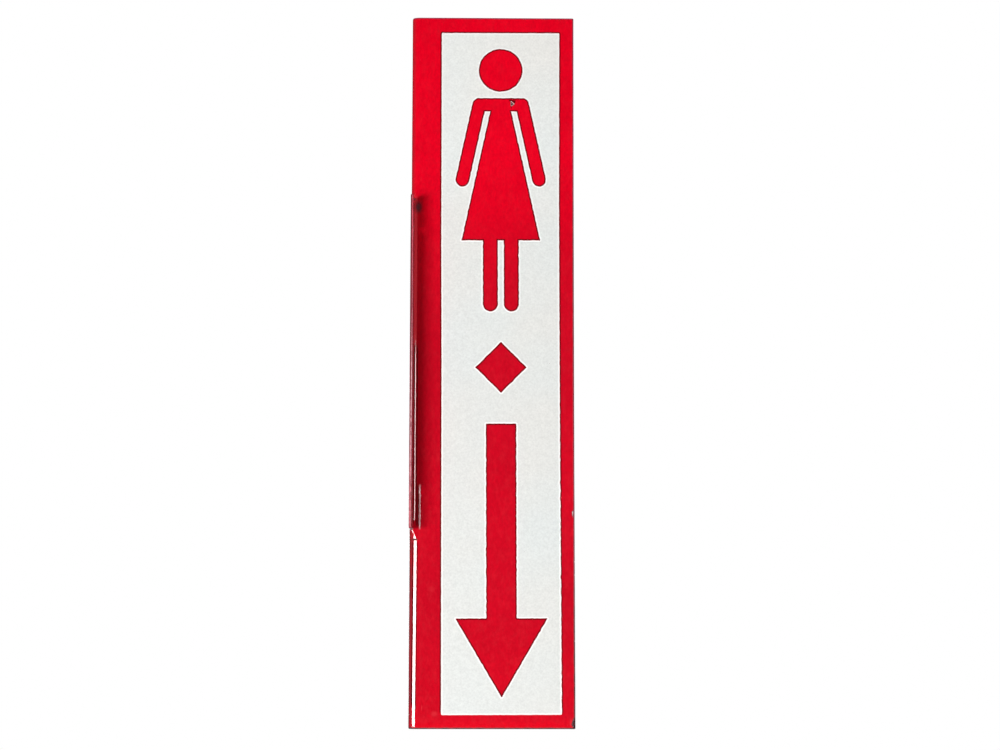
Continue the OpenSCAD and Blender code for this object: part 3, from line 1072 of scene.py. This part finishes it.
def makeRedBorder(face, marks, panel):
    loops = coverLoops("red", face, marks, [panel])
    small, printed = redRims(face)
    # the outer edge thins to a shoulder and laps down past the edge of the white on to the ground coat
    width = coats["shoulder"]
    low, under = (face * (depth - coats["sink"]) for depth in (groundDepth, whiteDepth))
    lapped = [(d, face * (redDepth - (width - d) ** 2 / (2 * coats["shoulderRadius"])))
              for d in (width, width * 0.8, width * 0.6, width * 0.4, 0.3, 0.2)]
    _, edgeTop = lapped.pop()
    lapped += rim(edgeTop, low, 0.2) + [(0.62, low), (0.68, under)]
    rings = bySize(loops, (100, small), (shapeLoop, printed), (anyLoop, lapped))
    return coatMesh("redBorder" + sides[face], loops, rings)


figure = {
    "headSpan": headHigh.x - headLow.x, "neckGap": 5.5, "shoulderShare": 0.63, "armWidth": 12.0,
    "armHeight": 78.0, "armGap": 4.5, "dressHeight": 125.0, "legWidth": 13.0, "legGap": 5.0, "height": 230.0,
}
signs = {"lozenge": 44.0, "gap": 26.0, "shaft": 26.0, "headHeight": 66.0, "endSpace": 14.0,
         "sideSpace": 11.55}
shapeNodes = {"figureHead": "figure_head", "figureBody": "figure_body"}


def onPanel(loop, front):
    # from the middle of the panel to the sheet, turned as the stencil was laid
    middle = ((stencil["bandWidth"] + freeEdge - stencil["borderSide"]) / 2,
              (sheetBottom + stencil["borderBottom"] + sheetTop - stencil["borderTop"]) / 2)
    return middle + turned(loop.T, stencil["frontTurn"] if front else stencil["backTurn"]).T


def panelLoop(front):
    w, h, steady = panelWidth / 2, panelHeight / 2, stencil["steadyHand"]
    loop = roundedLoop([(x, z, stencil["cornerRound"]) for x, z in ((-w, -h), (w, -h), (w, h), (-w, h))])
    for side, slip in ((-1, "leftSlip"), (1, "rightSlip")):
        on = loop[:, 0] * side > w - 2
        loop[on, 0] -= np.interp(loop[on, 1], *zip(*stencil[slip]))
    low = np.clip(0.5 - loop[:, 1] / h * 1.4, 0, 1)
    share = np.where(loop[:, 0] > w - 2, steady + (1 - steady) * low, steady)
    return onPanel(wander(loop, stencil["wander"], stencil["wanderLength"], 71 - front, share), front)


def motifLoops():
    # each red shape's loops about the middle of the panel, worked out as the construction does
    width, top = panelWidth - 2 * signs["sideSpace"], panelHeight / 2 - signs["endSpace"]
    headSpan, neckGap, share, arm, armHeight, armGap, dressHeight, leg, legGap, height = figure.values()
    shoulder, feet = top - headSpan - neckGap, top - height
    armTop, armBottom = shoulder - arm / 2, shoulder - armHeight + arm / 2
    topX, bottomX = share * width / 2 - arm / 2, (width - arm) / 2
    slope = (bottomX - topX) / (armTop - armBottom)
    dressX = topX - (arm / 2 + armGap) * math.hypot(1, slope)
    hem = shoulder - dressHeight
    hemX = dressX + slope * (armTop - hem)
    legX = (legGap + leg) / 2

    def bar(a, b, wide):
        a, b = np.array(a, float), np.array(b, float)
        ahead = unit(b - a) * wide / 2
        over = np.array([-ahead[1], ahead[0]])
        box = [a - ahead - over, b + ahead - over, b + ahead + over, a - ahead + over]
        return roundedLoop([(*p, wide / 2 * 0.999) for p in box], 0.9)

    dress = [(-hemX, hem, 0.5), (hemX, hem, 0.5), (dressX, armTop, 0), (-dressX, armTop, 0)]
    body = [bar((-topX, armTop), (topX, armTop), arm), roundedLoop(dress, 0.9)]
    for side in (-1, 1):
        body.append(bar((side * topX, armTop), (side * bottomX, armBottom), arm))
        body.append(bar((side * legX, hem + leg), (side * legX, feet + leg / 2), leg))
    middle, half = feet - signs["gap"] - signs["lozenge"] / 2, signs["lozenge"] / 2
    lozenge = [(0, middle - half, 0.5), (half, middle, 0.5), (0, middle + half, 0.5), (-half, middle, 0.5)]
    tail, tip = middle - half - signs["gap"], -top
    neck, s, w = tip + signs["headHeight"], signs["shaft"] / 2, width / 2
    arrow = [(-s, neck, 0.4), (-w, neck, 0.5), (0, tip, 0.6), (w, neck, 0.5), (s, neck, 0.4), (s, tail, 0.4),
             (-s, tail, 0.4)]
    head = ringLoop((0, top - headSpan / 2), headSpan / 2, 150)
    return {"figureHead": [head], "figureBody": body, "lozenge": [roundedLoop(lozenge, 0.9)],
            "arrow": [roundedLoop(arrow, 0.9)]}


def motifEdges(front):
    edges = {}
    for i, (name, loops) in enumerate(motifLoops().items()):
        loops = trimLoops(loops) if len(loops) > 1 else loops
        seed = 90 + 10 * i + front
        edges[name] = [onPanel(wander(loop, stencil["wander"] * 0.8, stencil["wanderLength"], seed), front)
                       for loop in loops]
    return edges


def makeMotifs(face, marks, motifs):
    small, printed = redRims(face)
    for name, loops in motifs.items():
        cuts = chipsThrough("figure", marks) if name == "figureBody" else []
        if cuts:
            loops = trimLoops(loops, cuts)
        rings = bySize(loops, (smallLoop, small), (anyLoop, printed))
        piece = coatMesh(name + sides[face], loops, rings, shapeGrid)
        lay(piece, redEnamel, shapeNodes.get(name, name) + "_" + sides[face].lower())


specks = {
    # how many in a square metre, least and most width in millimetres, height as a share of width
    "whitePimples": {"density": 2400, "width": (0.25, 0.75), "flatness": 0.22, "clear": 2.0, "seed": 5},
    "redPimples": {"density": 5200, "width": (0.25, 0.8), "flatness": 0.24, "clear": 1.2, "seed": 9},
    "ironGrit": {"density": 300, "width": (0.16, 0.36), "flatness": 0.5, "clear": 2.0, "seed": 14},
}
runBead = {
    "width": 1.8, "height": 0.3, "growth": 0.2, "raggedness": 0.42, "grain": 2.2, "taper": 1.0, "seed": 2,
    "path": [(8.75, -105.7), (8.7, -115.0), (8.6, -124.0), (8.65, -132.0), (8.75, -139.6)],
}
holeBead = {
    "width": 0.9, "height": 0.13, "growth": 0.0, "raggedness": 0.4, "grain": 3.0, "taper": 0.0, "seed": 7,
    "out": 1.55,
}


def scatterSpecks(coat, name, paint, face):
    # coat is pressed already; its copy is only the ground that the specks are scattered on
    piece = addObject(name + sides[face], coat.data.copy())
    piece.data.name = piece.name
    s = specks[name]
    values = {"density": s["density"], "leastWidth": s["width"][0] * mm, "mostWidth": s["width"][1] * mm,
              "flatness": s["flatness"], "facing": -face, "edgeClearance": s["clear"],
              "seed": s["seed"] + (face > 0), "material": paint}
    keep(runTree(piece, kilnSpecks, values), paint)


def makeBead(name, bead, paths, closed, face, paint):
    points, edges = [], []
    depth = -face * (redDepth - coats["sink"])
    for path in paths:
        first, count = len(points), len(path)
        points += [(x * mm, depth * mm, z * mm) for x, z in path]
        edges += [(first + i, first + (i + 1) % count) for i in range(count if closed else count - 1)]
    mesh = bpy.data.meshes.new(name)
    mesh.from_pydata(points, edges, [])
    piece = addObject(name, mesh)
    lengths = {label: bead[label] * mm for label in ("width", "height", "grain")}
    values = {**bead, **lengths, "surface": depth * mm, "step": 0.3 * mm, "seed": bead["seed"] + face,
              "material": paint}
    runTree(piece, enamelBead, values)
    for label in distances[:2]:
        far = piece.data.attributes.new(label, "FLOAT", "POINT")
        far.data.foreach_set("value", [noEdge] * len(piece.data.vertices))
    lay(piece, paint)


def makeBeads(face):
    # pooled enamel round each screw hole, on the side of the tab that faces the room
    rows = [row for row in holeRows if (row["pos_m"][1] / mm < middlePlane) == (face > 0)]
    makeBead("holeBeads" + sides[face], holeBead, screwHoles(holeBead["out"], rows), True, face, redEnamel)
    if face > 0:
        makeBead("enamelRun", runBead, [runBead["path"]], False, face, pooledEnamel)


makeSteel()
for face, marks in ((1, wear), (-1, backWear)):
    end = sides[face].lower()
    panel, motifs = panelLoop(face > 0), motifEdges(face > 0)
    lay(makeGround(face, marks), groundEnamel, "ground_coat_" + end)
    white = lay(makeWhite(face, marks, panel, motifs), whiteEnamel, "white_coat_" + end)
    red = lay(makeRedBorder(face, marks, panel), redEnamel, "red_border_" + end)
    makeMotifs(face, marks, motifs)
    scatterSpecks(white, "whitePimples", whiteEnamel, face)
    scatterSpecks(white, "ironGrit", groundEnamel, face)
    scatterSpecks(red, "redPimples", redEnamel, face)
    makeBeads(face)
    print("coats laid on the", end)


# Studio

studio = {
    "cameraAt": (0.0526, -1.6766, -0.2052),
    "pitch": math.radians(6.57), "yaw": math.radians(0.8), "roll": math.radians(0.075),
    "lens": 72.0, "sensor": 36.0,
    "floorHeight": -0.8, "floorSize": 12.0,
    "fill": 0.0725,
    "floorGlow": 0.74,  # what the camera sees of the floor besides the light on it
    "lampDistance": 1.9,
}
# soft boxes: degrees from the sheet's normal, negative to the left, lowest and highest z, degrees of span,
# radiance, whether it stands behind and whether the enamel mirrors it
softBoxes = {
    "softBoxLeft": (-29.8, -0.46, -0.04, 21.4, 30.4, False, True),
    "softBoxRight": (27.0, -0.3, 0.262, 8.0, 14.0, False, True),
    "backBoxLeft": (-30, -0.4, 0.2, 25, 10.0, True, False),
    "backBoxRight": (30, -0.4, 0.2, 25, 10.0, True, False),
    "backStripLeft": (-12, -0.4, 0.3, 4, 7.0, True, True),
    "backStripRight": (12, -0.4, 0.3, 4, 7.0, True, True),
}
cards = {"flagFront": (-1.7, -2.3), "flagRight": (1.8, -2.3), "flagBack": (1.8, 2.4), "flagLeft": (-1.7, 2.4)}


def makeCamera():
    data = bpy.data.cameras.new("camera")
    data.lens, data.sensor_width = studio["lens"], studio["sensor"]
    camera = addObject("camera", data)
    turns = (-studio["yaw"], "Z"), (math.pi / 2 + studio["pitch"], "X"), (studio["roll"], "Z")
    camera.matrix_world = Matrix.Translation(studio["cameraAt"])
    for angle, axis in turns:
        camera.matrix_world @= Matrix.Rotation(angle, 4, axis)
    scene.camera = camera


def addLamp(name, where, target, width, height, radiance, mirrored=True):
    data = bpy.data.lights.new(name, "AREA")
    data.shape = "RECTANGLE"
    data.size, data.size_y = width, height
    data.energy = radiance * math.pi * data.size * data.size_y
    lamp = addObject(name, data)
    lamp.location = where
    lamp.rotation_euler = (target - where).to_track_quat("-Z", "Y").to_euler()
    lamp.visible_camera = False
    lamp.visible_glossy = mirrored


def addSoftBox(name, azimuth, low, high, span, radiance, behind, mirrored):
    turn, away = math.radians(azimuth), studio["lampDistance"]
    target = Vector((freeEdge / 2 * mm, middlePlane * mm, (low + high) / 2))
    where = target + away * Vector((math.sin(turn), math.cos(turn) * (1 if behind else -1), 0))
    addLamp(name, where, target, 2 * away * math.tan(math.radians(span) / 2), high - low, radiance, mirrored)


def addStage(name, corners, paint):
    mesh = bpy.data.meshes.new(name)
    mesh.from_pydata(corners, [], [(0, 1, 2, 3)])
    mesh.materials.append(paint)
    stage = addObject(name, mesh)
    stage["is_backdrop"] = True
    return stage


def addFlag(name, start, end):
    # a black card that stands on the line from start to end, so that the glass mirrors no white there
    low, high = -1.0, 1.5
    cloth, shader, _ = material(name + "Cloth")
    feed(shader, {"Base Color": (0.004, 0.004, 0.004, 1), "Roughness": 1.0, "Specular IOR Level": 0.0})
    flag = addStage(name, [(*start, low), (*end, low), (*end, high), (*start, high)], cloth)
    for rays in ("camera", "diffuse", "transmission", "shadow", "volume_scatter"):
        setattr(flag, "visible_" + rays, False)


def rayIsSeen(tree):
    rays = add(tree, "ShaderNodeLightPath", out="Is Camera Ray")
    return most(most(rays, rays.beside("Is Glossy Ray")), rays.beside("Is Transmission Ray"))


def makeFloor():
    half, z = studio["floorSize"] / 2, studio["floorHeight"]
    paint, shader, _ = material("paleFloor")
    seen = rayIsSeen(paint.node_tree)
    feed(shader, {"Base Color": blend(seen, (0.86, 0.86, 0.86), (0.22, 0.22, 0.22)), "Roughness": 0.9,
                  "Emission Color": (1, 1, 1, 1), "Emission Strength": seen * studio["floorGlow"]})
    addStage("floor", [(-half, -half, z), (half, -half, z), (half, half, z), (-half, half, z)], paint)


def makeWorld():
    world = bpy.data.worlds.new("studio")
    scene.world = world
    world.use_nodes = True
    strength = rayIsSeen(world.node_tree).spread(0, 1, studio["fill"], 1.0)
    feed(world.node_tree.nodes["Background"], {"Color": (1, 1, 1, 1), "Strength": strength})


makeCamera()
for name, box in softBoxes.items():
    addSoftBox(name, *box)
# a small box on the floor draws a thin light line along the bottom edge
middleX = freeEdge / 2 * mm
low, target = Vector((middleX, -0.8, -0.7)), Vector((middleX, middlePlane * mm, -0.25))
addLamp("lowBoxFront", low, target, 0.6, 0.15, 1.3)
for i, (name, start) in enumerate(cards.items()):
    addFlag(name, start, [*cards.values()][(i + 1) % 4])
makeFloor()
makeWorld()
scene.view_settings.view_transform = "Standard"
print("studio set")

low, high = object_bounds()
